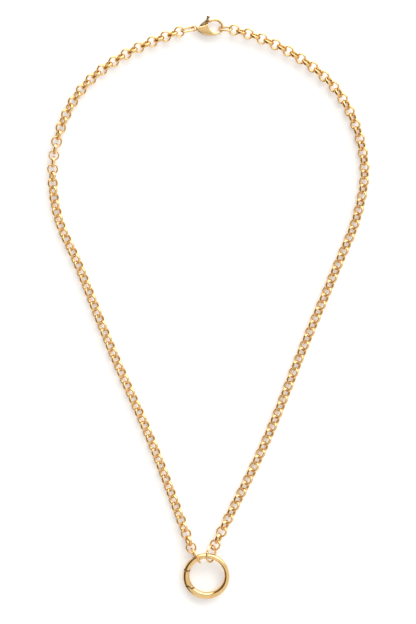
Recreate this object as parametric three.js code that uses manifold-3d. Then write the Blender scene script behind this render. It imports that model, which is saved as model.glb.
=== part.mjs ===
// Chain necklace, lying flat with the clasp at +Y and the charm ring at -Y.
//
// Two arms of round belcher links run from a lobster clasp to a gated charm ring. Every ring
// and link is placed by its two hooks: a hook is the middle of the small gap between two
// wires that bear on each other. A mesh sits at the hook or pin that it turns about.
// Units are millimetres, +Z is up, and z = 0 is the surface that the necklace lies on.

import * as THREE from 'three';
import { mergeVertices } from 'three/addons/utils/BufferGeometryUtils.js';
import Module from 'manifold-3d';

const wasm = await Module();
wasm.setup();

// ---------------------------------------------------------------- driving dimensions

// The loop as it lies
const loopHalfWidth = 60.9;
const loopLength = 213.7; // clasp line down to the charm ring's centre
const hookGap = 0.14; // between two wires that hook into each other
const bandSeat = 0.32; // more room where a link's flat band sits in a ring of round wire

// Belcher link: a half-round band bent into a ring
const linkOuter = 4.2;
const linkBand = 0.9; // band width, along the ring's axis
const linkCrown = 0.5; // width of the band's outer face
const linkThickness = 0.6;
const linkFacets = 8;
const barRadius = 0.24; // of the bars that hold a run of links together

// How far the flatter links lean out of the surface, in degrees, along an arm
const leanAtClasp = 24;
const leanOnSides = 45;
const leanAtRing = 20;
const leanAtMarker = 8;
const claspLeanRun = 60;
const ringLeanRun = 12;
const markerLeanRun = 9;
const ringRise = 9; // run over which the last links climb to their jump ring

// Small round ring let into the left arm
const markerOuter = 4.3;
const markerWire = 0.6;
const markerRun = 73; // from the start of the left arm's chain

// Oval rings on both sides of the clasp
const ovalLength = 5.9;
const ovalWidth = 3.5;
const ovalWire = 0.7;
const ovalLean = -50;
const claspRingTurn = 195; // direction in plan, degrees
const endRingTurn = -6;

// Jump rings between the chain and the charm ring
const jumpOuter = 7.2;
const jumpWire = 0.8;
const jumpSeatOut = 1.2; // the ring's tube sits this far inwards of the jump ring's centre
const jumpSeatUp = 0.25;
const jumpHookDrop = 30; // degrees below the jump ring's middle where the chain hooks in
const leftJump = { onRing: 117, turn: 121, lean: 80 };
const rightJump = { onRing: 76, turn: 83, lean: 122 };

// Charm ring with its push gate
const ringOuter = 18.3;
const ringBandWidth = 2.4;
const ringHeight = 2.8;
const ringCorner = 0.8;
const ringHoleRise = 0.3; // the hole sits above the middle, so the lower side is heavier
const ringHoleSide = 0.25; // and to the right of it, so the gate's side is heavier too
const ringTilt = 7; // its top edge rests on the two jump rings
const ringSide = -0.94; // its centre, right of the loop's middle
const gatePinAngle = 153.5;
const gateSeat = 1.35; // radius of the knuckle that the gate turns round
const gateOuterReach = 7.5; // from the pin to the latch, outer half of the gate
const gateInnerReach = 8.6; // and inner half
const gateGap = 0.16;
const gatePinRadius = 0.35;
const tongueRadius = 1.1;
const tongueHeight = 0.9;
const springStrip = 0.2;

// Lobster clasp
const claspHeight = 2.4;
const claspBowHeight = 0.8;
const claspSide = 0.31; // its middle, right of the loop's middle
const claspEye = { x: -6, radius: 1, wire: 0.5 };
const claspPivot = { x: -3.6, y: 0.1 };
const claspPinRadius = 0.3;
const claspBarInner = 4.65; // inner face of the bow where the end ring hangs
const endRingSlack = 0.3;
const eyeSlack = 0.15; // between the eye and the ring in it
const claspLeverHeight = 1.05;
const claspSlotHeight = 1.4;
const pinClearance = 0.08;

// ---------------------------------------------------------------- solids

function toSolid(geometry) {
  const bare = geometry.clone();
  bare.deleteAttribute('normal');
  bare.deleteAttribute('uv');
  const merged = mergeVertices(bare, 1e-5);
  const mesh = new wasm.Mesh({
    numProp: 3,
    vertProperties: new Float32Array(merged.attributes.position.array),
    triVerts: new Uint32Array(merged.index.array),
  });
  return new wasm.Manifold(mesh);
}

function toGeometry(solid) {
  const mesh = solid.getMesh();
  const geometry = new THREE.BufferGeometry();
  geometry.setAttribute('position', new THREE.BufferAttribute(new Float32Array(mesh.vertProperties), 3));
  geometry.setIndex(new THREE.BufferAttribute(new Uint32Array(mesh.triVerts), 1));
  geometry.computeVertexNormals();
  return geometry;
}

function plate(outline, low, high, steps = 6) {
  const geometry = new THREE.ExtrudeGeometry(outline, {
    depth: high - low,
    bevelEnabled: false,
    curveSegments: steps,
  });
  return toSolid(geometry.translate(0, 0, low));
}

function disc(x, y, radius, low, high, facets = 20) {
  const geometry = new THREE.CylinderGeometry(radius, radius, high - low, facets);
  geometry.rotateX(Math.PI / 2);
  return toSolid(geometry.translate(x, y, (low + high) / 2));
}

function outlineOf(points) {
  return new THREE.Shape(points.map(([x, y]) => new THREE.Vector2(x, y)));
}

// A strip of even thickness along a bent line, seen from above
function stripOutline(points, thickness) {
  const line = points.map(([x, y]) => new THREE.Vector2(x, y));
  const edge = (side) => line.map((point, i) => {
    const before = line[Math.max(i - 1, 0)];
    const after = line[Math.min(i + 1, line.length - 1)];
    const along = after.clone().sub(before).normalize();
    return new THREE.Vector2(
      point.x - (side * along.y * thickness) / 2,
      point.y + (side * along.x * thickness) / 2,
    );
  });
  return new THREE.Shape([...edge(-1), ...edge(1).reverse()]);
}

// Ring round Z from a closed profile of [radius, height] points, anticlockwise
function turned(profile, facets) {
  const points = profile.map(([radius, height]) => new THREE.Vector2(radius, height));
  points.push(points[0].clone());
  const geometry = new THREE.LatheGeometry(points, facets);
  geometry.rotateX(Math.PI / 2);
  return geometry;
}

// Round-wire ring in XY whose straight sides are stretched along X
function wireRing(meanRadius, wire, stretch, facets, wireFacets) {
  const geometry = new THREE.TorusGeometry(meanRadius, wire / 2, wireFacets, facets);
  geometry.rotateZ(Math.PI / facets);
  const position = geometry.attributes.position;
  for (let i = 0; i < position.count; i += 1) {
    position.setX(i, position.getX(i) + Math.sign(position.getX(i)) * stretch);
  }
  return geometry;
}

// ---------------------------------------------------------------- scene helpers

const necklace = new THREE.Group();
const gold = { color: 0xe0b066, metalness: 1, roughness: 0.22 };
const springSteel = { color: 0xb9b6ae, metalness: 1, roughness: 0.35 };

// A named piece whose solid is given in its parent's own frame and which sits at its pivot
function addPiece(name, solid, pivot, finish = gold, parent = necklace) {
  const geometry = toGeometry(solid).translate(-pivot.x, -pivot.y, -pivot.z);
  const piece = new THREE.Mesh(geometry, new THREE.MeshStandardMaterial(finish));
  piece.name = name;
  piece.position.copy(pivot);
  parent.add(piece);
}

const rad = THREE.MathUtils.degToRad;
const up = new THREE.Vector3(0, 0, 1);

function inPlan(x, y, z, length, degrees) {
  return new THREE.Vector3(
    x + length * Math.cos(rad(degrees)),
    y + length * Math.sin(rad(degrees)),
    z,
  );
}

// Frame of a ring that hangs between two hooks. `side` is +1 on the right arm and -1 on the
// left, and `lean` turns the ring's plane about the line of its hooks, outer edge upwards.
function ringFrame(from, to, lean, side) {
  const along = to.clone().sub(from).normalize();
  const outward = up.clone().cross(along).multiplyScalar(side).normalize();
  const above = along.clone().cross(outward).multiplyScalar(side);
  const across = outward.multiplyScalar(Math.cos(rad(lean)));
  across.add(above.multiplyScalar(Math.sin(rad(lean))));
  const axis = along.clone().cross(across);
  const frame = new THREE.Matrix4().makeBasis(along, across, axis);
  return frame.setPosition(from.clone().add(to).multiplyScalar(0.5));
}

// ---------------------------------------------------------------- charm ring and its gate

const claspLine = 0;
const ringCentreLine = claspLine - loopLength;
const ringInner = ringOuter / 2 - ringBandWidth;
const ringMiddle = ringOuter / 2 - ringBandWidth / 2;
const ringFloor = (ringOuter / 2) * Math.sin(rad(ringTilt)) + (ringHeight / 2) * Math.cos(rad(ringTilt));
const ringGroup = new THREE.Group();
ringGroup.position.set(ringSide, ringCentreLine, ringFloor);
ringGroup.rotation.x = rad(ringTilt);
necklace.add(ringGroup);

// Band section with rounded corners, and the hole moved up and to the right
function ringBlank() {
  const middle = ringMiddle;
  const halfWidth = ringBandWidth / 2 - ringCorner;
  const halfHeight = ringHeight / 2 - ringCorner;
  const profile = [];
  for (const [cornerX, cornerY, start] of [[1, -1, -90], [1, 1, 0], [-1, 1, 90], [-1, -1, 180]]) {
    for (const step of [15, 75]) {
      profile.push([
        middle + cornerX * halfWidth + ringCorner * Math.cos(rad(start + step)),
        cornerY * halfHeight + ringCorner * Math.sin(rad(start + step)),
      ]);
    }
  }
  const geometry = turned(profile, 36);
  const position = geometry.attributes.position;
  for (let i = 0; i < position.count; i += 1) {
    const radius = Math.hypot(position.getX(i), position.getY(i));
    const share = (ringOuter / 2 - radius) / ringBandWidth;
    position.setX(i, position.getX(i) + ringHoleSide * share);
    position.setY(i, position.getY(i) + ringHoleRise * share);
  }
  return toSolid(geometry);
}

const gatePin = inPlan(0, 0, 0, ringMiddle, gatePinAngle);
const cutHeight = ringHeight;

// Wedge from the ring's centre between two angles
function wedge(fromAngle, toAngle) {
  const reach = ringOuter;
  const corners = [[0, 0]];
  for (let step = 0; step <= 4; step += 1) {
    const angle = rad(fromAngle + ((toAngle - fromAngle) * step) / 4);
    corners.push([reach * Math.cos(angle), reach * Math.sin(angle)]);
  }
  return plate(outlineOf(corners), -cutHeight, cutHeight);
}

// Space of the gate: round the pin on both sides, stepped at the latch, drawn in by `gap`
function gateSpace(gap) {
  const round = (radius) => disc(gatePin.x, gatePin.y, radius, -cutHeight, cutHeight, 48);
  const step = disc(0, 0, ringMiddle - gap, -cutHeight, cutHeight, 48);
  const inner = round(gateInnerReach - gap).intersect(step);
  const space = round(gateOuterReach - gap).add(inner);
  return space.intersect(wedge(gatePinAngle, gatePinAngle + 120)).subtract(round(gateSeat + gap));
}

// Strip that follows the ring's curve inside its band
function bandStrip(inner, outer, height, fromAngle, toAngle) {
  const profile = [[inner, -height / 2], [outer, -height / 2], [outer, height / 2], [inner, height / 2]];
  return toSolid(turned(profile, 36)).intersect(wedge(fromAngle, toAngle));
}

const tongueSlot = tongueHeight + 2 * gateGap;
const slotRadius = tongueRadius + 0.45;
const springPocket = bandStrip(ringMiddle - 0.4, ringMiddle + 0.4, 0.9, gatePinAngle - 42, gatePinAngle);
const pinHole = disc(gatePin.x, gatePin.y, gatePinRadius + pinClearance, -cutHeight, cutHeight);
const tongueSpace = disc(gatePin.x, gatePin.y, slotRadius, -tongueSlot / 2, tongueSlot / 2, 32);
const ringBody = ringBlank()
  .subtract(gateSpace(0))
  .subtract(tongueSpace)
  .subtract(springPocket)
  .subtract(pinHole);
addPiece('charm_ring_body', ringBody, new THREE.Vector3(), gold, ringGroup);

const tongue = disc(gatePin.x, gatePin.y, tongueRadius, -tongueHeight / 2, tongueHeight / 2, 32);
const neck = bandStrip(
  ringMiddle - 0.7,
  ringMiddle + 0.7,
  tongueHeight,
  gatePinAngle,
  gatePinAngle + 20,
);
const gate = ringBlank().intersect(gateSpace(gateGap)).add(tongue).add(neck).subtract(pinHole);
addPiece('charm_ring_gate', gate, gatePin, gold, ringGroup);

const pinLength = ringHeight - 0.2;
addPiece(
  'charm_ring_gate_pin',
  disc(gatePin.x, gatePin.y, gatePinRadius, -pinLength / 2, pinLength / 2, 16),
  gatePin,
  gold,
  ringGroup,
);
addPiece(
  'charm_ring_gate_spring',
  bandStrip(
    ringMiddle - springStrip / 2,
    ringMiddle + springStrip / 2,
    0.6,
    gatePinAngle - 38,
    gatePinAngle - 11,
  ),
  gatePin,
  springSteel,
  ringGroup,
);

// ---------------------------------------------------------------- jump rings at the charm ring

// A jump ring stands round the band; its centre and the hook for the chain follow from the
// place on the ring, the direction it points in plan and how it leans.
function placeJump({ onRing, turn, lean }) {
  const seat = inPlan(0, 0, 0, ringMiddle, onRing);
  seat.applyAxisAngle(new THREE.Vector3(1, 0, 0), ringGroup.rotation.x).add(ringGroup.position);
  const outwards = inPlan(0, 0, 0, 1, turn);
  const sideways = up.clone().cross(outwards);
  const upwards = sideways.multiplyScalar(-Math.cos(rad(lean)));
  upwards.add(up.clone().multiplyScalar(Math.sin(rad(lean))));
  const centre = seat.addScaledVector(outwards, jumpSeatOut).addScaledVector(upwards, jumpSeatUp);
  const reach = jumpOuter / 2 - jumpWire - hookGap / 2 - bandSeat;
  const hook = centre.clone()
    .addScaledVector(outwards, reach * Math.cos(rad(jumpHookDrop)))
    .addScaledVector(upwards, -reach * Math.sin(rad(jumpHookDrop)));
  const axis = outwards.clone().cross(upwards);
  const frame = new THREE.Matrix4().makeBasis(outwards, upwards, axis).setPosition(centre);
  const ring = wireRing((jumpOuter - jumpWire) / 2, jumpWire, 0, 18, 6);
  return { hook, solid: toSolid(ring.applyMatrix4(frame)) };
}

const jumpAtLeft = placeJump(leftJump);
const jumpAtRight = placeJump(rightJump);

// ---------------------------------------------------------------- clasp

const claspOrigin = new THREE.Vector3(claspSide, claspLine, claspHeight / 2);
const claspGroup = new THREE.Group();
claspGroup.position.copy(claspOrigin);
necklace.add(claspGroup);

const claspTip = [-5.05, -0.45];
const cheekPeak = [-1.3, 1.7];
const cheekMouth = [-0.35, 0.85];
const hookTip = [[-0.45, 2.95], [-0.25, 2.3]];

// Body outline: belly and bow round the outside, then back along the hook's inner edge
function claspOutline() {
  const shape = new THREE.Shape();
  shape.moveTo(...claspTip);
  shape.bezierCurveTo(-3.6, -2.2, -2.2, -2.75, 0.6, -2.8);
  shape.bezierCurveTo(3.2, -2.85, 5.2, -2.0, 5.55, -0.3);
  shape.bezierCurveTo(5.8, 1.6, 4.7, 3.7, 2.7, 3.7);
  shape.bezierCurveTo(1.6, 3.7, 0.4, 3.3, ...hookTip[0]);
  shape.lineTo(...hookTip[1]);
  shape.bezierCurveTo(0.8, 2.75, 1.8, 3.0, 2.6, 2.95);
  shape.bezierCurveTo(3.9, 2.85, claspBarInner + 0.25, 1.6, claspBarInner, 0.1);
  shape.bezierCurveTo(4.1, -1.2, 3.1, -1.75, 2.1, -1.8);
  shape.bezierCurveTo(0.9, -1.75, 0.0, -0.7, ...cheekMouth);
  shape.lineTo(...cheekPeak);
  shape.lineTo(claspTip[0], -claspTip[1]);
  return shape;
}

const cheekZone = outlineOf([[-7, -4], [0.9, -4], [-0.1, 2.0], [-7, 2.0]]);
const leverSpace = outlineOf([
  [-4.35, 2.6], [-4.45, 0.1], [-4.2, -0.6], [-3.2, -1.3], [-1.1, -2.1], [-0.15, -1.6],
  [0.4, -0.6], [0.2, 1.4], [-0.75, 2.2], [-1.0, 3.4],
]);
const half = claspHeight / 2;
const cheeks = plate(claspOutline(), -half, half).intersect(plate(cheekZone, -half, half));
const bow = plate(claspOutline(), -claspBowHeight / 2, claspBowHeight / 2);
const eye = toSolid(
  wireRing(claspEye.radius, claspEye.wire, 0, 14, 6).translate(claspEye.x, 0, 0),
);
const pivotBore = disc(claspPivot.x, claspPivot.y, claspPinRadius + pinClearance, -half, half);
const claspBody = cheeks
  .add(bow)
  .add(eye)
  .subtract(plate(leverSpace, -claspSlotHeight / 2, claspSlotHeight / 2))
  .subtract(pivotBore);
addPiece('clasp_body', claspBody, new THREE.Vector3(), gold, claspGroup);

// Lever: eyelet on the pin, blade that closes the mouth, and the thumb tab with its ball
const leverBlade = outlineOf([
  [-3.5, -0.6], [-2.1, 0.55], [-0.75, 1.15], [-0.42, 1.4], [-0.34, 2.1], [-0.58, 2.75],
  [-0.62, 3.2], [-0.5, 3.7], [-0.4, 4.3], [-0.75, 4.45], [-0.95, 3.7], [-1.25, 3.05],
  [-2.0, 2.55], [-3.3, 1.45], [-4.15, 0.5],
]);
const lever = plate(leverBlade, -claspLeverHeight / 2, claspLeverHeight / 2)
  .add(disc(claspPivot.x, claspPivot.y, 0.7, -claspLeverHeight / 2, claspLeverHeight / 2))
  .add(toSolid(new THREE.SphereGeometry(0.45, 10, 6).translate(-0.5, 4.43, 0)))
  .subtract(pivotBore);
const pivot = new THREE.Vector3(claspPivot.x, claspPivot.y, 0);
addPiece('clasp_lever', lever, pivot, gold, claspGroup);
addPiece(
  'clasp_lever_pin',
  disc(pivot.x, pivot.y, claspPinRadius, -half, half, 16),
  pivot,
  gold,
  claspGroup,
);
const hairpin = stripOutline([[-1.0, -0.5], [-2.85, -0.95], [-2.95, -1.1], [-1.1, -1.75]], 0.16);
addPiece('clasp_spring', plate(hairpin, -0.45, 0.45), pivot, springSteel, claspGroup);

// ---------------------------------------------------------------- oval rings at the clasp

const ovalEndRadius = (ovalWidth - ovalWire) / 2;
const ovalHooks = ovalLength - 2 * ovalWire - hookGap - bandSeat;
const ovalStretch = (ovalLength - ovalWire) / 2 - ovalEndRadius;

const linkMean = (linkOuter - linkThickness) / 2;
// A ring of few facets keeps the round ring's area when it is drawn this much larger
const facetGrowth = Math.sqrt((2 * Math.PI) / linkFacets / Math.sin((2 * Math.PI) / linkFacets));

// Height of the chain's middle line where its steeper links just touch the surface
function axisHeight(lean) {
  const reach = (linkMean * facetGrowth) + linkThickness / 2;
  return reach * Math.cos(rad(lean)) + (linkCrown / 2) * Math.sin(rad(lean));
}

const claspHook = claspOrigin.clone();
claspHook.x += claspEye.x - claspEye.radius + claspEye.wire / 2 + hookGap / 2 + eyeSlack;
const endHook = claspOrigin.clone();
endHook.x += claspBarInner - hookGap / 2 - endRingSlack;

function placeOval(name, hook, turn, side) {
  const far = inPlan(hook.x, hook.y, axisHeight(leanAtClasp), ovalHooks, turn);
  const frame = ringFrame(hook, far, ovalLean, side);
  const ring = wireRing(ovalEndRadius, ovalWire, ovalStretch, 16, 6);
  addPiece(name, toSolid(ring.applyMatrix4(frame)), hook);
  return far;
}

// ---------------------------------------------------------------- chain

// Plan of each arm: how far down the loop and how far out, as shares of its length and half
// width. The first and last points are the hooks of the oval ring and of the jump ring.
const leftShape = [
  [0.0146, 0.267], [0.0474, 0.529], [0.1022, 0.785], [0.168, 0.929], [0.2555, 0.999],
  [0.343, 0.967], [0.431, 0.836], [0.584, 0.625], [0.759, 0.36],
];
const rightShape = [
  [0.0146, 0.296], [0.0474, 0.542], [0.1022, 0.789], [0.168, 0.93], [0.2555, 1.0],
  [0.343, 0.952], [0.431, 0.83], [0.584, 0.607], [0.759, 0.36],
];
const segmentsPerArm = 11;
const runsPerSegment = 2;

function armCurve(shape, side, start, end) {
  const points = shape.map(([down, out]) => new THREE.Vector3(
    side * out * loopHalfWidth,
    claspLine - down * loopLength,
    0,
  ));
  const flatStart = start.clone().setZ(0);
  const flatEnd = end.clone().setZ(0);
  const curve = new THREE.CatmullRomCurve3([flatStart, ...points, flatEnd]);
  curve.arcLengthDivisions = 1000;
  return curve;
}

function bell(distance, run) {
  return Math.exp(-((distance / run) ** 2));
}

// One arm: the link spans are fitted to the curve, then every link hangs between its hooks
function layArm({ shape, side, start, end, markerAt }) {
  const curve = armCurve(shape, side, start, end);
  const length = curve.getLength();
  const linkSpan = 2 * linkMean - linkThickness - hookGap;
  const markerSpan = markerOuter - 2 * markerWire - hookGap - 2 * bandSeat;
  const hasMarker = markerAt !== undefined;
  const extra = hasMarker ? markerSpan : 0;
  // An odd number of rings in all, so that both end ones are of the flatter kind
  const pairs = (length - extra) / linkSpan / 2;
  const links = hasMarker ? 2 * Math.ceil(pairs) : 2 * Math.ceil(pairs - 0.5) + 1;
  const fitted = (length - extra) / links;
  const markerIndex = hasMarker ? 2 * Math.round(markerAt / fitted / 2) : -1;
  const count = hasMarker ? links + 1 : links;
  const markerMiddle = markerIndex * fitted + markerSpan / 2;
  const leanAt = (along) => {
    let lean = leanOnSides;
    lean += (leanAtClasp - leanOnSides) * bell(along, claspLeanRun);
    lean += (leanAtRing - leanOnSides) * bell(length - along, ringLeanRun);
    if (markerIndex >= 0) {
      lean += (leanAtMarker - leanOnSides) * bell(along - markerMiddle, markerLeanRun);
    }
    return lean;
  };
  const hooks = [];
  const leans = [];
  let along = 0;
  for (let i = 0; i <= count; i += 1) {
    const hook = curve.getPointAt(Math.min(along / length, 1));
    const climb = (end.z - axisHeight(leanAtRing)) * bell(length - along, ringRise);
    hook.z = axisHeight(leanAt(along)) + climb;
    hooks.push(hook);
    const span = i === markerIndex ? markerSpan : fitted;
    leans.push(leanAt(along + span / 2) + (i % 2 === 0 ? 0 : 90));
    along += span;
  }
  return { hooks, leans, count, markerIndex, side };
}

function linkSolid() {
  const inner = linkMean - linkThickness / 2;
  const outer = linkMean + linkThickness / 2;
  const grow = linkMean * (facetGrowth - 1);
  const profile = [
    [inner + grow, -linkBand / 2],
    [outer + grow, -linkCrown / 2],
    [outer + grow, linkCrown / 2],
    [inner + grow, linkBand / 2],
  ];
  return turned(profile, linkFacets).rotateZ(Math.PI / 2 + Math.PI / linkFacets);
}

// Links from `first` to `last`, joined inside each hook by a short three-sided bar
function chainRun(arm, first, last) {
  const base = linkSolid();
  const flatMiddle = linkMean * facetGrowth * Math.cos(Math.PI / linkFacets);
  const barLength = hookGap + linkThickness + 2 * (linkMean - flatMiddle);
  const bar = new THREE.CylinderGeometry(barRadius, barRadius, barLength, 3).rotateZ(Math.PI / 2);
  let run = null;
  for (let i = first; i <= last; i += 1) {
    const frame = ringFrame(arm.hooks[i], arm.hooks[i + 1], arm.leans[i], arm.side);
    const link = toSolid(base.clone().applyMatrix4(frame));
    run = run ? run.add(link) : link;
    if (i > first) {
      frame.setPosition(arm.hooks[i]);
      run = run.add(toSolid(bar.clone().applyMatrix4(frame)));
    }
  }
  return run;
}

function markerSolid(arm) {
  const i = arm.markerIndex;
  const frame = ringFrame(arm.hooks[i], arm.hooks[i + 1], arm.leans[i], arm.side);
  const ring = wireRing((markerOuter - markerWire) / 2, markerWire, 0, 14, 6);
  return toSolid(ring.applyMatrix4(frame));
}

// First and last ring of each of so many runs that share out the rings from `start` on
function shareOut(start, rings, parts) {
  const runs = [];
  let first = start;
  for (let part = 1; part <= parts; part += 1) {
    const next = start + Math.round((rings * part) / parts);
    runs.push([first, next - 1]);
    first = next;
  }
  return runs;
}

// The runs of an arm; the marker ring stands between two of them
function runsOf(arm) {
  const total = segmentsPerArm * runsPerSegment;
  const before = Math.round((total * Math.max(arm.markerIndex, 0)) / arm.count);
  const start = arm.markerIndex + 1;
  return [
    ...shareOut(0, arm.markerIndex, before),
    ...shareOut(start, arm.count - start, total - before),
  ];
}

function addArm(word, arm) {
  runsOf(arm).forEach(([first, last], run) => {
    const number = String(run + 1).padStart(2, '0');
    addPiece(`chain_${word}_${number}`, chainRun(arm, first, last), arm.hooks[first]);
  });
}

const leftArm = layArm({
  shape: leftShape,
  side: -1,
  start: placeOval('clasp_jump_ring', claspHook, claspRingTurn, -1),
  end: jumpAtLeft.hook,
  markerAt: markerRun,
});
const rightArm = layArm({
  shape: rightShape,
  side: 1,
  start: placeOval('end_jump_ring', endHook, endRingTurn, 1),
  end: jumpAtRight.hook,
});
addArm('left', leftArm);
addPiece('marker_ring', markerSolid(leftArm), leftArm.hooks[leftArm.markerIndex]);
addArm('right', rightArm);
addPiece('charm_jump_ring_left', jumpAtLeft.solid, jumpAtLeft.hook);
addPiece('charm_jump_ring_right', jumpAtRight.solid, jumpAtRight.hook);

// ---------------------------------------------------------------- origin

// The origin is under the middle of the whole necklace, on the surface it lies on
necklace.updateMatrixWorld(true);
const extent = new THREE.Box3().setFromObject(necklace, true);
const middle = extent.getCenter(new THREE.Vector3());
necklace.position.set(-middle.x, -middle.y, -extent.min.z);
necklace.updateMatrixWorld(true);

export default necklace;
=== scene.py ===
"""Gold-plated chain necklace laid out flat: a lobster clasp, two arms of round belcher links with a
small marker ring in the left one, and a push-gate charm ring that hangs from two jump rings.

Sizes are in millimetres until a piece is made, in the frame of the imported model.
"""

import bpy
import numpy as np
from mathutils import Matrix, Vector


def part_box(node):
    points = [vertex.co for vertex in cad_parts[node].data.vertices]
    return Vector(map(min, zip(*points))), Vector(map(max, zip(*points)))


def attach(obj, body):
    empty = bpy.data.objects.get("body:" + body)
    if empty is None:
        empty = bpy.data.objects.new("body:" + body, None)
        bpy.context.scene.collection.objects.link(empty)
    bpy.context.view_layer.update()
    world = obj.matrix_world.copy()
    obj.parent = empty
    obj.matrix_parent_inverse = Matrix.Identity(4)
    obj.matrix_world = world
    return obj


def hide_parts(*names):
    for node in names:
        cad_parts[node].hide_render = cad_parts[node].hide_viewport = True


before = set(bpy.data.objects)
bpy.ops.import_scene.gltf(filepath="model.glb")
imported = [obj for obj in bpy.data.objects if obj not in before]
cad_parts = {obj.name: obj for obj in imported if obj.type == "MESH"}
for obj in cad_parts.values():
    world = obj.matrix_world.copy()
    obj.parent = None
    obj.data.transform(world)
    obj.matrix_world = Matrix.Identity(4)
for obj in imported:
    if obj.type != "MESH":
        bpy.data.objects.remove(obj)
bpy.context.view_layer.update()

# ------------------------------------------------------------ the surface, the light and the camera
# A pale matt board under a wide soft sky: brightest low down beyond the clasp, and with an unlit
# stretch of wall on the left that draws the dark lines in the gold.


class Value:
    """An output socket. Arithmetic on it adds Math nodes to its tree."""

    def __init__(self, socket):
        self.socket = socket
        self.tree = socket.id_data

    def node(self, kind, settings=None, inputs=None, output=0):
        """A node of that type in the same tree: its settings first, then its sockets' values or
        links."""
        made = self.tree.nodes.new(kind)
        for name, setting in (settings or {}).items():
            setattr(made, name, setting)
        for name, value in (inputs or {}).items():
            if isinstance(value, Value):
                self.tree.links.new(value.socket, made.inputs[name])
            else:
                made.inputs[name].default_value = value
        return Value(made.outputs[output])

    def maths(self, operation, *values):
        """A Math node on the values, in their order."""
        return self.node("ShaderNodeMath", {"operation": operation}, dict(enumerate(values)))

    def __add__(self, other):
        return self.maths("ADD", self, other)

    def __radd__(self, other):
        return self.maths("ADD", other, self)

    def __sub__(self, other):
        return self.maths("SUBTRACT", self, other)

    def __rsub__(self, other):
        return self.maths("SUBTRACT", other, self)

    def __mul__(self, other):
        return self.maths("MULTIPLY", self, other)

    def __rmul__(self, other):
        return self.maths("MULTIPLY", other, self)

    def __truediv__(self, other):
        return self.maths("DIVIDE", self, other)

    def __rtruediv__(self, other):
        return self.maths("DIVIDE", other, self)

    def __pow__(self, other):
        return self.maths("POWER", self, other)

    def __rpow__(self, other):
        return self.maths("POWER", other, self)

    def part(self, axis):
        """The X, Y or Z of a vector."""
        return self.node("ShaderNodeSeparateXYZ", inputs={"Vector": self}, output="XYZ".index(axis))

    def step(self, low, high):
        """0 below low, 1 above high, and a smooth rise between them."""
        return self.node(
            "ShaderNodeMapRange",
            {"interpolation_type": "SMOOTHSTEP"},
            {"Value": self, "From Min": low, "From Max": high},
        )

    def between(self, first, second):
        """Where this value is 0 the first colour, where it is 1 the second."""
        factor, first_colour, second_colour, mixed_colour = 0, 6, 7, 2  # the Mix node's own sockets
        ends = {factor: self}
        for place, end in ((first_colour, first), (second_colour, second)):
            ends[place] = end if isinstance(end, Value) else (*end, 1.0)
        return self.node("ShaderNodeMix", {"data_type": "RGBA"}, ends, output=mixed_colour)


def soft_studio(world):
    """Light from a direction (x, y, z), by how far across from the zenith it is and by its bearing:
    an even sky plus a low bright band beyond the clasp, both a little dimmer at the zenith, and
    tinted dark brown where the unlit wall stands on the left."""
    even_sky, band_gain, zenith_loss = 1.04, 3.8, 0.35
    world.use_nodes = True
    tree = world.node_tree
    tree.nodes.clear()
    output = tree.nodes.new("ShaderNodeOutputWorld")
    towards = Value(tree.nodes.new("ShaderNodeTexCoord").outputs["Generated"])
    x, y, z = (towards.part(axis) for axis in "XYZ")
    across = (x * x + y * y) ** 0.5
    safely_across = across + 0.0001
    right = x / safely_across
    clasp_way = y / safely_across
    zenith = 1.0 - across.step(0.03, 0.16)
    back_light = clasp_way.step(0.25, 0.8) * across.step(0.6, 0.8)
    left_wall = (-1.0 * right).step(0.3, 0.62) * across.step(0.20, 0.40)
    light = (even_sky + band_gain * back_light * (1.0 - left_wall)) * (1.0 - zenith_loss * zenith)
    tint = left_wall.between((1.0, 0.99, 0.97), (0.17, 0.115, 0.055))
    glow = towards.node("ShaderNodeBackground", inputs={"Color": tint, "Strength": light})
    tree.links.new(glow.socket, output.inputs["Surface"])


scene = bpy.context.scene
scene.world = bpy.data.worlds.new("soft_studio")
soft_studio(scene.world)
scene.view_settings.view_transform = "Standard"

MM = 0.001

view_distance = 650.0
view_height = 243.4  # what the frame takes in at the necklace's height
view_middle = (-0.1, -1.8)
necklace_height = 2.0
camera_data = bpy.data.cameras.new("camera")
camera_data.sensor_width = 36.0
camera_data.lens = camera_data.sensor_width * view_distance / view_height
camera_data.clip_end = 10.0
camera = bpy.data.objects.new("camera", camera_data)
camera.location = np.multiply((*view_middle, view_distance + necklace_height), MM)
scene.collection.objects.link(camera)
scene.camera = camera


def new_finish(name, **constants):
    """A material with one Principled shader; returns it, the shader, and the place on the piece."""
    material = bpy.data.materials.new(name)
    material.use_nodes = True
    tree = material.node_tree
    shader = tree.nodes["Principled BSDF"]
    for socket, number in constants.items():
        shader.inputs[socket.replace("_", " ")].default_value = number
    place = Value(tree.nodes.new("ShaderNodeTexCoord").outputs["Object"])
    return material, shader, place


def feed(shader, **links):
    """Links values to the shader's sockets."""
    for socket, value in links.items():
        value.tree.links.new(value.socket, shader.inputs[socket.replace("_", " ")])


def pale_board():
    """Matt white board with a faint cloudy tone and the tooth of its coating."""
    material, shader, place = new_finish("pale_board", Roughness=0.75, Emission_Strength=0.34)
    cloud = place.node("ShaderNodeTexNoise", inputs={"Vector": place, "Scale": 6.0, "Detail": 3.0})
    tooth = place.node("ShaderNodeTexNoise", inputs={"Vector": place, "Scale": 900.0, "Detail": 2.0})
    tone = cloud.between((0.78, 0.78, 0.785), (0.81, 0.81, 0.815))
    relief = place.node(
        "ShaderNodeBump", inputs={"Strength": 0.15, "Distance": 0.00002, "Height": tooth}
    )
    feed(shader, Base_Color=tone, Emission_Color=tone, Normal=relief)
    return material


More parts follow.
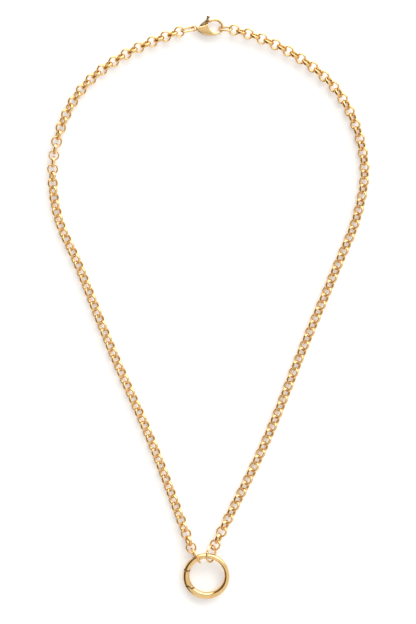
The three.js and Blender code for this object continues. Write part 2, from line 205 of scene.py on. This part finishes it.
board_reach, board_drop = 3000.0, 0.02  # the board is a hair under the lowest wire
board_corners = np.array([(-1, -1, 0), (1, -1, 0), (1, 1, 0), (-1, 1, 0)]) * board_reach
board_mesh = bpy.data.meshes.new("board")
board_mesh.from_pydata(((board_corners - (0, 0, board_drop)) * MM).tolist(), [], [(0, 1, 2, 3)])
board_mesh.materials.append(pale_board())
board = bpy.data.objects.new("board", board_mesh)
scene.collection.objects.link(board)

# ------------------------------------------------------------ clasp body
# Lobster clasp, cast in brass, polished and gold plated: a hook that runs round into a deep belly,
# two cheeks with the slot for the lever between them, and a round eye at the pointed end.

UP = np.array([0.0, 0.0, 1.0])


def gold_finish(name, tone, roughness, round_about=None, shaded_joints=False):
    """Polished gold plate: slow drifts of tone and gloss, and the fine lines that polishing leaves.
    The lines are noise stretched along the piece, or along the circle round round_about. A piece with
    shaded_joints is painted dark brown as shade where its seam attribute is 1."""
    material, shader, place = new_finish(name, Metallic=1.0)
    if round_about is None:
        along = place.node(
            "ShaderNodeMapping", inputs={"Vector": place, "Scale": (0.35, 1.0, 1.0)}
        )
    else:
        centred = place.node(
            "ShaderNodeVectorMath",
            {"operation": "SUBTRACT"},
            {0: place, 1: tuple(np.multiply(round_about, MM))},
        )
        x, y, z = (centred.part(axis) for axis in "XYZ")
        radius = (x * x + y * y) ** 0.5
        turn = y.maths("ARCTAN2", y, x)
        along = place.node(
            "ShaderNodeCombineXYZ", inputs={"X": radius, "Y": turn * 0.0008, "Z": z}
        )
    drift = place.node("ShaderNodeTexNoise", inputs={"Vector": place, "Scale": 420.0, "Detail": 2.0})
    lines = place.node("ShaderNodeTexNoise", inputs={"Vector": along, "Scale": 5200.0, "Detail": 4.0})
    paler = tuple(min(1.0, part * 1.04 + 0.01) for part in tone)
    deeper = tuple(part * shade for part, shade in zip(tone, (0.97, 0.93, 0.86)))
    relief = place.node(
        "ShaderNodeBump", inputs={"Strength": 0.12, "Distance": 0.000015, "Height": lines}
    )
    colour = drift.step(0.3, 0.7).between(deeper, paler)
    if shaded_joints:
        # painted shade: dark brown where the seam attribute is 1, for the shade in the gaps of the
        # joints
        seam = place.node("ShaderNodeAttribute", {"attribute_name": "seam"}, output=2)
        colour = seam.between(colour, (0.22, 0.12, 0.045))
    feed(
        shader,
        Base_Color=colour,
        Roughness=roughness - 0.03 + 0.05 * lines + 0.02 * drift,
        Normal=relief,
    )
    return material


def rounded_section(count, flatness=2.0):
    """Section points (across, lift) of a unit superellipse: cosine and sine, each to the power
    2 / flatness with its sign kept."""
    turn = 2 * np.pi * (np.arange(count) + 0.5) / count
    c, s = np.cos(turn), np.sin(turn)
    return np.stack(
        [np.sign(c) * abs(c) ** (2 / flatness), np.sign(s) * abs(s) ** (2 / flatness)], axis=1
    )


def skin(grid, ring=False):
    """Closed surface over a grid of points: rows run along the piece, columns round its section.
    A ring joins its last row to its first; otherwise each end is closed by a fan. All faces are
    turned over if the volume they enclose comes out negative. Returns points, quads and fans."""
    rows, columns = grid.shape[:2]
    number = np.arange(rows * columns).reshape(rows, columns)
    after = np.roll(number, -1, axis=1)
    near, far = (number, np.roll(number, -1, axis=0)) if ring else (number[:-1], number[1:])
    near_after, far_after = (after, np.roll(after, -1, axis=0)) if ring else (after[:-1], after[1:])
    quads = np.stack([near, near_after, far_after, far], axis=-1).reshape(-1, 4)
    points, fans = grid.reshape(-1, 3), np.empty((0, 3), int)
    if not ring:
        points = np.concatenate([points, grid[[0, -1]].mean(axis=1)])
        first, last = np.full(columns, rows * columns), np.full(columns, rows * columns + 1)
        fans = np.concatenate([
            np.stack([after[0], number[0], first], axis=1),
            np.stack([number[-1], after[-1], last], axis=1),
        ])
    a, b, c = np.moveaxis(points[np.concatenate([quads[:, :3], quads[:, [0, 2, 3]], fans])], 1, 0)
    if (a * np.cross(b, c)).sum() < 0:
        quads, fans = quads[:, ::-1], fans[:, ::-1]
    return points, quads, fans


def rings_of(path, across, lift, half_width, half_height, section):
    """Rows of a surface: at every point of the path the section is stretched by the half width
    along `across` and by the half height along `lift`."""
    wide = np.asarray(half_width)[..., None, None] * section[None, :, 0:1] * across[:, None, :]
    high = np.asarray(half_height)[..., None, None] * section[None, :, 1:2] * lift[:, None, :]
    return path[:, None, :] + wide + high


def smooth_through(points, count):
    """Points along the cubic spline through the given ones, evenly spread over their numbers."""
    points = np.asarray(points, float)
    knots = np.arange(len(points))
    at = np.linspace(0, len(points) - 1, count)
    slope = np.gradient(points, axis=0)
    i = np.minimum(at.astype(int), len(points) - 2)
    t = (at - knots[i])[:, None]
    a, b, da, db = points[i], points[i + 1], slope[i], slope[i + 1]
    return (
        a * (2 * t**3 - 3 * t**2 + 1)
        + b * (3 * t**2 - 2 * t**3)
        + da * (t**3 - 2 * t**2 + t)
        + db * (t**3 - t**2)
    )


def between_edges(outer, inner, half_height, count, section, level=0.0):
    """A bar whose two edges in plan run through the outer and the inner points; the half heights go
    with the points, and both ends are rounded off over the last rows by a quarter circle."""
    end_rows, end_depth = 3.0, 0.96
    outer, inner = smooth_through(outer, count), smooth_through(inner, count)
    height = smooth_through(np.asarray(half_height, float)[:, None], count)[:, 0]
    reach = np.minimum(np.arange(count), np.arange(count)[::-1]) / end_rows
    rounding = np.sqrt(1 - (1 - np.clip(reach, 0, 1)) ** 2 * end_depth)
    middle = (outer + inner) / 2
    across = (outer - inner) / 2
    path = np.concatenate([middle, np.full((count, 1), level)], axis=1)
    side = np.concatenate([across, np.zeros((count, 1))], axis=1)
    lift = np.repeat(UP[None], count, axis=0)
    return rings_of(path, side, lift, rounding, height * rounding, section)


def make_piece(name, shells, finish, body, replaces, subdivide=0, seam=None):
    """One smooth-shaded mesh of closed shells, given in millimetres, riding on a CAD body. The seam
    is how near each point lies to a joint, 0 to 1, kept with the mesh for the finish's painted shade."""
    points, faces, start = [], [], 0
    for shell_points, quads, fans in shells:
        points.append(shell_points)
        faces += (quads + start).tolist() + (fans + start).tolist()
        start += len(shell_points)
    mesh = bpy.data.meshes.new(name)
    mesh.from_pydata((np.concatenate(points) * MM).tolist(), [], faces)
    mesh.polygons.foreach_set("use_smooth", np.ones(len(faces), bool))
    mesh.materials.append(finish)
    if seam is not None:
        mesh.attributes.new("seam", "FLOAT", "POINT").data.foreach_set("value", seam)
    piece = bpy.data.objects.new(name, mesh)
    scene.collection.objects.link(piece)
    if subdivide:
        rounding = piece.modifiers.new("rounding", "SUBSURF")
        rounding.levels = rounding.render_levels = subdivide
    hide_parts(*replaces)
    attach(piece, body)


clasp_height = 2.4
clasp_pivot = np.array([-3.6, 0.1, 0.0])  # the lever's pin, from the clasp's own middle
pin_low, pin_high = (np.array(corner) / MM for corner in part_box("clasp_lever_pin"))
clasp_middle = (pin_low + pin_high) / 2 - clasp_pivot
fittings_gold = gold_finish("fittings_gold", tone=(0.75, 0.515, 0.245), roughness=0.13)

hook_outer = [
    (-0.55, 3.0), (0.1, 3.28), (1.0, 3.56), (2.3, 3.76), (3.6, 3.55), (4.7, 2.85), (5.35, 1.75),
    (5.6, 0.6), (5.5, -0.5), (4.9, -1.5), (3.7, -2.3), (2.2, -2.72), (0.6, -2.8), (-1.0, -2.7),
    (-2.5, -2.4), (-3.8, -1.65), (-4.75, -0.8), (-5.25, -0.2),
]
hook_inner = [
    (-0.3, 2.12), (0.25, 2.3), (1.0, 2.58), (2.15, 2.76), (3.1, 2.55), (3.95, 1.95), (4.5, 1.2),
    (4.7, 0.4), (4.5, -0.45), (3.85, -1.15), (3.0, -1.65), (2.1, -1.8), (1.2, -1.6), (-0.9, -2.1),
    (-2.3, -1.8), (-3.4, -1.25), (-4.25, -0.55), (-4.65, 0.25),
]
hook_half_height = [
    0.42, 0.50, 0.55, 0.58, 0.55, 0.48, 0.40, 0.38, 0.42, 0.55, 0.75, 0.95, 1.1, 1.14, 1.14,
    1.1, 0.9, 0.6,
]
hook = between_edges(hook_outer, hook_inner, hook_half_height, 110, rounded_section(20, 2.6))

cheek_lower = [
    (-5.1, -0.35), (-4.5, -1.05), (-3.8, -1.62), (-3.0, -2.1), (-2.0, -2.5), (-1.0, -2.68),
    (0.0, -2.76), (0.8, -2.74), (1.6, -2.66),
]
cheek_upper = [
    (-4.95, 0.25), (-4.3, 0.42), (-3.5, 0.56), (-2.6, 0.72), (-1.6, 1.02), (-0.6, 1.42),
    (-0.28, 0.45), (0.3, -0.7), (1.4, -1.65),
]
cheek_thickness = 0.5
cheek_level = (clasp_height - cheek_thickness) / 2
cheek_half_heights = [cheek_thickness / 2] * len(cheek_lower)
cheeks = [
    between_edges(
        cheek_lower, cheek_upper, cheek_half_heights, 60, rounded_section(28, 3.0), level
    )
    for level in (cheek_level, -cheek_level)
]


def wire_ring(mean_radius, wire, rows, columns=10, stretch=0.0, seam=None, gap=0.05):
    """Ring of round wire in its own XY plane: the wire's circle carried round the mean circle, whose
    halves are moved apart along X by the stretch. A seam in degrees opens it by the gap. Returns
    the grid, and whether it joins up."""
    if seam is None:
        turn = 2 * np.pi * np.arange(rows) / rows
    else:
        slit = gap / mean_radius
        turn = np.radians(seam) + np.linspace(slit / 2, 2 * np.pi - slit / 2, rows)
    out = np.stack([np.cos(turn), np.sin(turn), np.zeros(rows)], axis=1)
    path = mean_radius * out
    path[:, 0] += stretch * np.clip(np.cos(turn) * 6, -1, 1)
    lift = np.repeat(UP[None], rows, axis=0)
    half = np.full(rows, wire / 2)
    return rings_of(path, out, lift, half, half, rounded_section(columns)), seam is None


eye_middle, eye_radius, eye_wire = -6.0, 1.0, 0.5
eye, eye_is_ring = wire_ring(eye_radius, eye_wire, 32)
eye = eye + (eye_middle, 0.0, 0.0)
make_piece(
    "clasp_casting",
    [skin(hook + clasp_middle), *(skin(cheek + clasp_middle) for cheek in cheeks),
     skin(eye + clasp_middle, eye_is_ring)],
    fittings_gold,
    "clasp",
    ["clasp_body"],
)

# ------------------------------------------------------------ clasp lever, its rivet and its spring
# Stamped brass blade, gold plated, that turns on the rivet between the cheeks and shuts against the
# hook's end; a thumb tab with a small ball stands out of it. Its gold is painted darker as shade.
# The hairpin spring lies in the belly.

lever_upper = [
    (-4.5, 0.0), (-4.15, 0.66), (-3.4, 1.52), (-2.7, 2.16), (-2.05, 2.66), (-1.35, 3.2),
    (-0.66, 3.2),
]
lever_lower = [
    (-3.75, -0.5), (-3.1, -0.25), (-2.4, 0.22), (-1.7, 0.62), (-1.1, 0.9), (-0.55, 1.2),
    (-0.3, 1.62),
]
blade_half_heights = [0.66] * len(lever_upper)
bevel = rounded_section(28, 2.4)
bevel[:, 1] *= 0.60 - 0.45 * bevel[:, 0]  # thin along the upper edge, full along the lower
blade = between_edges(lever_upper, lever_lower, blade_half_heights, 48, bevel)
tab_rows = 30
tab_path = smooth_through(
    [(-0.98, 2.6, 0), (-0.86, 3.1, 0), (-0.76, 3.5, 0), (-0.66, 3.85, 0), (-0.57, 4.1, 0),
     (-0.5, 4.3, 0), (-0.46, 4.55, 0), (-0.42, 4.74, 0), (-0.4, 4.84, 0)],
    tab_rows,
)
tab_radius = smooth_through(
    np.array([0.56, 0.48, 0.41, 0.38, 0.46, 0.62, 0.66, 0.50, 0.08])[:, None], tab_rows
)[:, 0]
tab_across = np.repeat(np.array([[0.97, -0.24, 0.0]]), tab_rows, axis=0)
tab_lift = np.repeat(UP[None], tab_rows, axis=0)
tab = rings_of(tab_path, tab_across, tab_lift, tab_radius, tab_radius, rounded_section(16))
make_piece(
    "clasp_trigger",
    [skin(blade + clasp_middle), skin(tab + clasp_middle)],
    # painted shade: the lever's dark brown gold tone stands in for the shade it lies in
    gold_finish("lever_shaded_gold", tone=(0.26, 0.165, 0.075), roughness=0.24),
    "clasp_lever",
    ["clasp_lever"],
)


def rivet(radius, half_length, dome=0.12):
    """Round pin along Z with a low dome on each end: the width falls off over the last tenth of the
    height, and the dome lifts what is narrower."""
    height = np.array([-1.0, -0.99, -0.95, -0.9, 0.9, 0.95, 0.99, 1.0]) * half_length
    wide = np.array([0.35, 0.7, 0.95, 1.0, 1.0, 0.95, 0.7, 0.35]) * radius
    height = height + np.sign(height) * dome * (1 - wide / radius)
    rows = len(height)
    path = height[:, None] * UP
    across = np.repeat(np.array([[1.0, 0.0, 0.0]]), rows, axis=0)
    lift = np.repeat(np.array([[0.0, 1.0, 0.0]]), rows, axis=0)
    return rings_of(path, across, lift, wide, wide, rounded_section(20))


clasp_rivet_radius, clasp_rivet_half_length = 0.36, 1.18
clasp_rivet = rivet(clasp_rivet_radius, clasp_rivet_half_length)
make_piece(
    "clasp_rivet",
    [skin(clasp_rivet + clasp_middle + clasp_pivot)],
    gold_finish("rivet_gold", tone=(0.72, 0.46, 0.20), roughness=0.2),
    "clasp",
    ["clasp_lever_pin"],
)


def spring_finish():
    """Bright drawn spring strip with faint rolling lines."""
    material, shader, place = new_finish("spring_strip", Metallic=1.0)
    lines = place.node("ShaderNodeTexNoise", inputs={"Vector": place, "Scale": 6000.0, "Detail": 2.0})
    relief = place.node(
        "ShaderNodeBump", inputs={"Strength": 0.2, "Distance": 0.00001, "Height": lines}
    )
    feed(
        shader,
        Base_Color=lines.between((0.55, 0.54, 0.52), (0.68, 0.67, 0.64)),
        Roughness=0.28 + 0.1 * lines,
        Normal=relief,
    )
    return material


spring_steel = spring_finish()
for node in ("clasp_spring", "charm_ring_gate_spring"):
    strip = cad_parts[node]
    strip.data.materials.clear()
    strip.data.materials.append(spring_steel)

# ------------------------------------------------------------ oval rings at the clasp
# Oval jump rings of round gold-plated wire with butted ends. One is closed through the clasp's eye,
# the other ends the right arm and is hooked by the clasp.


def plan(point, length, degrees, height):
    """The point that far from a point in the given direction of the plan, at a height."""
    turn = np.radians(degrees)
    end = point + length * np.array([np.cos(turn), np.sin(turn), 0.0])
    end[2] = height
    return end


def unit(vectors):
    """The vectors, each divided by its length."""
    return vectors / np.linalg.norm(vectors, axis=-1, keepdims=True)


def ring_frames(start, end, lean, side):
    """Axes and middles of rings that hang between two hooks: X along the hooks, Y across the ring's
    plane, which leans by so many degrees out of the surface, and Z along the ring's axis."""
    along = unit(end - start)
    outward = unit(np.cross(UP, along) * side)
    above = np.cross(along, outward) * side
    lean = np.radians(np.asarray(lean, float))[..., None]
    across = outward * np.cos(lean) + above * np.sin(lean)
    return np.stack([along, across, np.cross(along, across)], axis=-2), (start + end) / 2


def placed(grid, axes, middle):
    """A grid from a ring's own axes into the necklace's frame."""
    return grid @ axes + middle


hook_gap = 0.14  # between two wires that hook into each other
band_seat = 0.32  # more room where a link's flat band sits in a ring of round wire
link_outer, link_thickness, link_crown = 4.2, 0.6, 0.5
link_mean = (link_outer - link_thickness) / 2
frame_facets = 8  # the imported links, drawn a little larger to keep the round ring's area
frame_reach = link_mean * np.sqrt(
    (2 * np.pi / frame_facets) / np.sin(2 * np.pi / frame_facets)
) + link_thickness / 2


def axis_height(lean):
    """Height of the chain's middle line where its steeper links touch the surface."""
    lean = np.radians(lean)
    return frame_reach * np.cos(lean) + link_crown / 2 * np.sin(lean)


lean_at_clasp = 24.0
oval_length, oval_width, oval_wire, oval_lean = 5.9, 3.5, 0.7, -50.0
eye_slack, bow_inner, end_ring_slack = 0.15, 4.65, 0.3
eye_inner = eye_middle - eye_radius + eye_wire / 2
clasp_hook = clasp_middle + (eye_inner + hook_gap / 2 + eye_slack, 0, 0)
end_hook = clasp_middle + (bow_inner - hook_gap / 2 - end_ring_slack, 0, 0)


def oval_ring(name, hook, turn, side, seam, body, node):
    """An oval ring hung on a hook and pointing the given way in plan; returns the hook at its far
    end, where the chain starts."""
    reach = oval_length - 2 * oval_wire - hook_gap - band_seat
    far = plan(hook, reach, turn, axis_height(lean_at_clasp))
    axes, middle = ring_frames(hook, far, oval_lean, side)
    mean = (oval_width - oval_wire) / 2
    stretch = (oval_length - oval_width) / 2
    grid, ring = wire_ring(mean, oval_wire, 64, 14, stretch, seam)
    make_piece(
        name, [skin(placed(grid, axes, middle), ring)], fittings_gold, body, [node]
    )
    return far


left_start = oval_ring(
    "clasp_eye_ring", clasp_hook, turn=195, side=-1, seam=62, body="left_00", node="clasp_jump_ring"
)
right_start = oval_ring(
    "chain_end_ring", end_hook, turn=-6, side=1, seam=248, body="right_00", node="end_jump_ring"
)

# ------------------------------------------------------------ jump rings at the charm ring
# Two jump rings of round gold-plated wire with butted ends, closed round the charm ring's band; the
# last link of each arm hangs in one.

ring_outer, ring_band, ring_height, ring_tilt = 18.3, 2.4, 2.8, np.radians(7.0)
loop_length, ring_side, clasp_side = 213.7, -0.94, 0.31
clasp_line = clasp_middle[1]
loop_middle = clasp_middle[0] - clasp_side
ring_middle_radius = (ring_outer - ring_band) / 2
ring_floor = ring_outer / 2 * np.sin(ring_tilt) + ring_height / 2 * np.cos(ring_tilt)
surface = clasp_middle[2] - clasp_height / 2
charm_middle = np.array([loop_middle + ring_side, clasp_line - loop_length, surface + ring_floor])
charm_axes = np.array([
    [1.0, 0.0, 0.0],
    [0.0, np.cos(ring_tilt), np.sin(ring_tilt)],
    [0.0, -np.sin(ring_tilt), np.cos(ring_tilt)],
])
jump_outer, jump_wire, jump_seat_out, jump_seat_up, jump_hook_drop = 7.2, 0.8, 1.2, 0.25, 30.0


def jump_ring(name, on_ring, turn, lean, seam, body, node):
    """Round ring standing in a plane given by its direction in plan and its lean; returns the hook
    where the chain hangs."""
    around = np.radians(on_ring)
    seat = ring_middle_radius * np.array([np.cos(around), np.sin(around), 0.0]) @ charm_axes
    turn, lean, drop = np.radians([turn, lean, jump_hook_drop])
    outwards = np.array([np.cos(turn), np.sin(turn), 0.0])
    upwards = -np.cos(lean) * np.cross(UP, outwards) + np.sin(lean) * UP
    centre = charm_middle + seat + jump_seat_out * outwards + jump_seat_up * upwards
    reach = jump_outer / 2 - jump_wire - hook_gap / 2 - band_seat
    axes = np.stack([outwards, upwards, np.cross(outwards, upwards)])
    grid, ring = wire_ring((jump_outer - jump_wire) / 2, jump_wire, 72, 14, seam=seam)
    make_piece(
        name, [skin(placed(grid, axes, centre), ring)], fittings_gold, body, [node]
    )
    return centre + reach * (np.cos(drop) * outwards - np.sin(drop) * upwards)


left_end = jump_ring(
    "charm_hanger_left",
    on_ring=117, turn=121, lean=80, seam=60,
    body="left_12", node="charm_jump_ring_left",
)
right_end = jump_ring(
    "charm_hanger_right",
    on_ring=76, turn=83, lean=122, seam=75,
    body="right_12", node="charm_jump_ring_right",
)

# ------------------------------------------------------------ the chain's two arms
# Belcher chain: half-round brass wire bent into rings, flat side inwards, each soldered shut through
# the one before, then gold plated. It lies in a drop-shaped loop, its links leaning 24 degrees near
# the clasp and 45 degrees further down.

loop_half_width = 60.9
# Points down an arm: how far down and how far out, as shares of the loop's length and half width.
left_shape = [
    (0.0146, 0.267), (0.0474, 0.529), (0.1022, 0.785), (0.168, 0.929), (0.2555, 0.999),
    (0.343, 0.967), (0.431, 0.836), (0.584, 0.625), (0.759, 0.36),
]
right_shape = [
    (0.0146, 0.296), (0.0474, 0.542), (0.1022, 0.789), (0.168, 0.93), (0.2555, 1.0),
    (0.343, 0.952), (0.431, 0.83), (0.584, 0.607), (0.759, 0.36),
]
lean_on_sides, lean_at_ring, lean_at_marker = 45.0, 20.0, 8.0
clasp_lean_run, ring_lean_run, marker_lean_run, climb_run = 60.0, 12.0, 9.0, 9.0
marker_outer, marker_wire, marker_place = 4.3, 0.6, 73.0
segments_per_arm, runs_per_segment = 11, 2


def centripetal(points, steps):
    """Centripetal Catmull-Rom curve through the points, at steps + 1 even parameters: a cubic on
    each span whose end slopes weigh the neighbours by the square root of their distances."""
    points = np.asarray(points, float)
    points = np.concatenate([2 * points[:1] - points[1:2], points, 2 * points[-1:] - points[-2:-1]])
    spans = len(points) - 3
    at = np.linspace(0, spans, steps + 1)
    i = np.minimum(at.astype(int), spans - 1)
    t = (at - i)[:, None]
    a, b, c, d = (points[i + n] for n in range(4))
    ab, bc, cd = (
        np.sqrt(np.linalg.norm(q - p, axis=1, keepdims=True)) for p, q in ((a, b), (b, c), (c, d))
    )
    slope_b = ((b - a) / ab - (c - a) / (ab + bc) + (c - b) / bc) * bc
    slope_c = ((c - b) / bc - (d - b) / (bc + cd) + (d - c) / cd) * bc
    return (
        b
        + slope_b * t
        + (3 * (c - b) - 2 * slope_b - slope_c) * t**2
        + (2 * (b - c) + slope_b + slope_c) * t**3
    )


def bell(distance, run):
    """1 where the distance is 0, falling as a bell curve over the run."""
    return np.exp(-((distance / run) ** 2))


def lay_arm(shape, side, start, end, marker_at=None):
    """The hooks between the arm's rings and how far each ring leans, from the clasp to the charm
    ring: even lengths of the curve, one ring between every two hooks, and an odd number of rings so
    that the first and the last lean alike."""
    down, out = np.array(shape).T
    across = loop_middle + side * out * loop_half_width
    route = np.stack([across, clasp_line - down * loop_length], axis=1)
    route = np.concatenate([[start[:2]], route, [end[:2]]])
    fine = centripetal(route, 1000)
    run = np.concatenate([[0], np.cumsum(np.linalg.norm(np.diff(fine, axis=0), axis=1))])
    length = run[-1]
    link_span = 2 * link_mean - link_thickness - hook_gap
    marker_span = marker_outer - 2 * marker_wire - hook_gap - 2 * band_seat
    extra = 0.0 if marker_at is None else marker_span
    pairs = (length - extra) / link_span / 2
    links = int(2 * np.ceil(pairs)) if marker_at is not None else int(2 * np.ceil(pairs - 0.5) + 1)
    fitted = (length - extra) / links
    marker = -1 if marker_at is None else int(2 * round(marker_at / fitted / 2))
    spans = np.full(links if marker < 0 else links + 1, fitted)
    if marker >= 0:
        spans[marker] = marker_span
    along = np.concatenate([[0], np.cumsum(spans)])
    middles = along[:-1] + spans / 2

    def lean_at(where):
        """The lean on the sides, drawn by bell curves to the leans at the clasp, at the charm ring
        and at the marker ring."""
        lean = lean_on_sides + (lean_at_clasp - lean_on_sides) * bell(where, clasp_lean_run)
        lean = lean + (lean_at_ring - lean_on_sides) * bell(length - where, ring_lean_run)
        if marker >= 0:
            off = where - (marker * fitted + marker_span / 2)
            lean = lean + (lean_at_marker - lean_on_sides) * bell(off, marker_lean_run)
        return lean

    climb = (end[2] - surface - axis_height(lean_at_ring)) * bell(length - along, climb_run)
    height = surface + axis_height(lean_at(along)) + climb
    hooks = np.stack([*(np.interp(along, run, fine[:, n]) for n in (0, 1)), height], axis=1)
    leans = lean_at(middles) + 90.0 * (np.arange(len(spans)) % 2)
    return hooks, leans, marker


def link_cage(rows=12):
    """Control cage of one link, for one level of rounding: six points of a half-round section, flat
    inside and domed outside, carried round a twelve-sided ring, whose radius is grown by
    6 / (4 + 2 cosine of a step) because the rounding draws it in by as much."""
    turn = 2 * np.pi * (np.arange(rows) + 0.5) / rows
    section = np.array([
        (-0.27, 0.36), (-0.27, -0.36), (0.08, -0.74), (0.46, -0.42), (0.46, 0.42), (0.08, 0.74),
    ])
    grow = 6 / (4 + 2 * np.cos(2 * np.pi / rows))
    radius = (link_mean + section[None, :, 0]) * grow
    return np.stack([
        radius * np.cos(turn)[:, None],
        radius * np.sin(turn)[:, None],
        np.broadcast_to(section[None, :, 1], (rows, 6)),
    ], axis=-1)


def share_out(start, rings, parts):
    """First and last ring of each of so many runs that share out the rings from start on."""
    edges = [start + int(np.floor(rings * part / parts + 0.5)) for part in range(parts + 1)]
    return [(first, after - 1) for first, after in zip(edges, edges[1:])]


def runs_of(count, marker):
    """The runs of an arm; the marker ring stands between two of them."""
    total = segments_per_arm * runs_per_segment
    if marker < 0:
        return share_out(0, count, total)
    before = round(total * marker / count)
    start = marker + 1
    return share_out(0, marker, before) + share_out(start, count - start, total - before)


def make_arm(word, hooks, leans, marker, side, finish):
    """One piece for each run of links: the cage of a link, turned and moved to every place."""
    axes, middles = ring_frames(hooks[:-1], hooks[1:], leans, side)
    cage = link_cage()
    placed_links = np.einsum("rcx,kxy->krcy", cage, axes) + middles[:, None, None, :]
    for run, (first, last) in enumerate(runs_of(len(leans), marker)):
        number = f"{run + 1:02d}"
        make_piece(
            f"links_{word}_{number}",
            [skin(link, ring=True) for link in placed_links[first:last + 1]],
            finish,
            f"{word}_{run // runs_per_segment + 1:02d}",
            [f"chain_{word}_{number}"],
            subdivide=1,
        )
    return axes, middles


chain_gold = gold_finish("chain_gold", tone=(0.74, 0.49, 0.215), roughness=0.12)
left_hooks, left_leans, left_marker = lay_arm(left_shape, -1, left_start, left_end, marker_place)
right_hooks, right_leans, right_marker = lay_arm(right_shape, 1, right_start, right_end)
left_axes, left_middles = make_arm("left", left_hooks, left_leans, left_marker, -1, chain_gold)
make_arm("right", right_hooks, right_leans, right_marker, 1, chain_gold)

# ------------------------------------------------------------ marker ring
# A thin ring of round gold-plated wire with butted ends, let into the left arm between two links.
# It lies nearly flat, its seam to one side.

marker_mean = (marker_outer - marker_wire) / 2
marker_grid, marker_is_ring = wire_ring(marker_mean, marker_wire, 48, 12, seam=100)
make_piece(
    "marker_loop",
    [skin(placed(marker_grid, left_axes[left_marker], left_middles[left_marker]), marker_is_ring)],
    fittings_gold,
    "left_04",
    ["marker_ring"],
)

# ------------------------------------------------------------ charm ring and its push gate
# Thick ring, cast in brass, polished and gold plated. The gate is about a seventh of it, on the left: a
# tongue in the ring's slot turns on a rivet, and the other end is stepped to close flush with the
# ring.

gate_pin_angle = np.radians(153.5)
gate_seat, gate_outer_reach, gate_inner_reach, gate_gap = 1.35, 7.5, 8.6, 0.16
hole_rise, hole_side = 0.3, 0.25  # the hole lies a little up and aside of the ring's middle
step_run = 0.03
# Painted shade: the joints are darkened over a width in millimetres, and the tongue in the ring's slot
# by a share.
joint_chamfer, joint_shade_width = 0.2, 0.30
tongue_rows, tongue_fullness, tongue_overlap, tongue_shade = 12, 0.4, 0.12, 0.6


def swing_angle(radius, distance):
    """Angle, seen from the ring's centre, between the pin and the point at a radius that is so far
    from the pin: the law of cosines."""
    share = (ring_middle_radius**2 + radius**2 - distance**2) / (2 * ring_middle_radius * radius)
    return np.arccos(np.clip(share, -1, 1))


def seat_edge(radius, gap=0.0):
    """The hinge end: a circle round the pin, so the joint stays shut as the gate swings."""
    return gate_pin_angle + swing_angle(radius, gate_seat + gap)


def latch_edge(radius, gap=0.0):
    """The stepped end: the outer half of the band stops short of the inner half."""
    outer = gate_pin_angle + swing_angle(radius, gate_outer_reach - gap)
    inner = gate_pin_angle + swing_angle(radius, gate_inner_reach - gap)
    share = np.clip((radius - (ring_middle_radius - gap)) / step_run + 0.5, 0, 1)
    return inner + (outer - inner) * share


def band_section(count=48, flatness=2.5):
    """Points (out from the middle radius, height) of the band's oval section."""
    points = rounded_section(count, flatness)
    return np.stack([points[:, 0] * ring_band / 2, points[:, 1] * ring_height / 2], axis=1)


def band_between(first_edge, last_edge, rows, fullness=1.0):
    """Part of the charm ring between two edges, each an angle as a function of the radius: rows of
    the section from one edge to the other, a little closer together near the edges, and the same
    edges carried in to close both ends. Also returns how near each point is to a joint, for painted
    shade: 1 at an edge and in the middle of an end, falling to 0 over the shade's width."""
    section = fullness * band_section()
    cap = np.array([0.04, 0.3, 0.6, 0.78, 0.88])
    shrink = np.concatenate([cap, np.ones(rows), cap[::-1]])
    in_edges = np.concatenate([0 * cap, np.ones(rows), 0 * cap + 2])
    even, closer = np.linspace(0, 1, rows), 0.12
    spread = even - closer * np.sin(2 * np.pi * even) / (2 * np.pi)
    in_span = np.concatenate([0 * cap, spread, 0 * cap + 1])
    radius = ring_middle_radius + shrink[:, None] * section[None, :, 0]
    height = shrink[:, None] * section[None, :, 1]
    first, last = first_edge(radius), last_edge(radius)
    chamfer = joint_chamfer / ring_middle_radius
    turn = first + chamfer * in_edges[:, None] + (last - first - 2 * chamfer) * in_span[:, None]
    inwards = (ring_outer / 2 - radius) / ring_band
    x = radius * np.cos(turn) + hole_side * inwards
    y = radius * np.sin(turn) + hole_rise * inwards
    grid = np.stack([x, y, height], axis=-1) @ charm_axes + charm_middle
    # painted shade along the joints: 1 at each end of the piece, fading out a little way in
    from_end = np.minimum(turn - first, last - turn) * ring_middle_radius
    seam = np.exp(-((np.maximum(from_end, 0) / joint_shade_width) ** 4)).ravel()
    return grid, np.append(seam, [1.0, 1.0])


# Gold with painted shade along the joints of the band and the gate.
charm_gold = gold_finish(
    "charm_gold", tone=(0.75, 0.52, 0.25), roughness=0.10, round_about=charm_middle, shaded_joints=True
)
ring_band_grid, band_joint_shade = band_between(
    latch_edge, lambda radius: seat_edge(radius) + 2 * np.pi, 220
)
make_piece(
    "charm_ring_band",
    [skin(ring_band_grid)],
    charm_gold,
    "charm_ring",
    ["charm_ring_body"],
    seam=band_joint_shade,
)
gate_grid, gate_joint_shade = band_between(
    lambda radius: seat_edge(radius, gate_gap), lambda radius: latch_edge(radius, gate_gap), 60
)
tongue_grid, tongue_joint_shade = band_between(
    lambda radius: np.full_like(radius, gate_pin_angle),
    lambda radius: seat_edge(radius) + tongue_overlap,
    tongue_rows,
    tongue_fullness,
)
# The gate's joints are painted dark as shade, and its tongue, down in the ring's slot, is painted
# darker all over as shade.
make_piece(
    "charm_ring_push_gate",
    [skin(gate_grid), skin(tongue_grid)],
    charm_gold,
    "gate",
    ["charm_ring_gate"],
    seam=np.append(gate_joint_shade, np.full(len(tongue_joint_shade), tongue_shade)),
)
pin_place = ring_middle_radius * np.array([np.cos(gate_pin_angle), np.sin(gate_pin_angle), 0.0])
ring_rivet_radius, ring_rivet_half_length = 0.35, 1.36
ring_rivet = rivet(ring_rivet_radius, ring_rivet_half_length) + pin_place
make_piece(
    "charm_ring_rivet",
    [skin(ring_rivet @ charm_axes + charm_middle)],
    charm_gold,
    "charm_ring",
    ["charm_ring_gate_pin"],
)
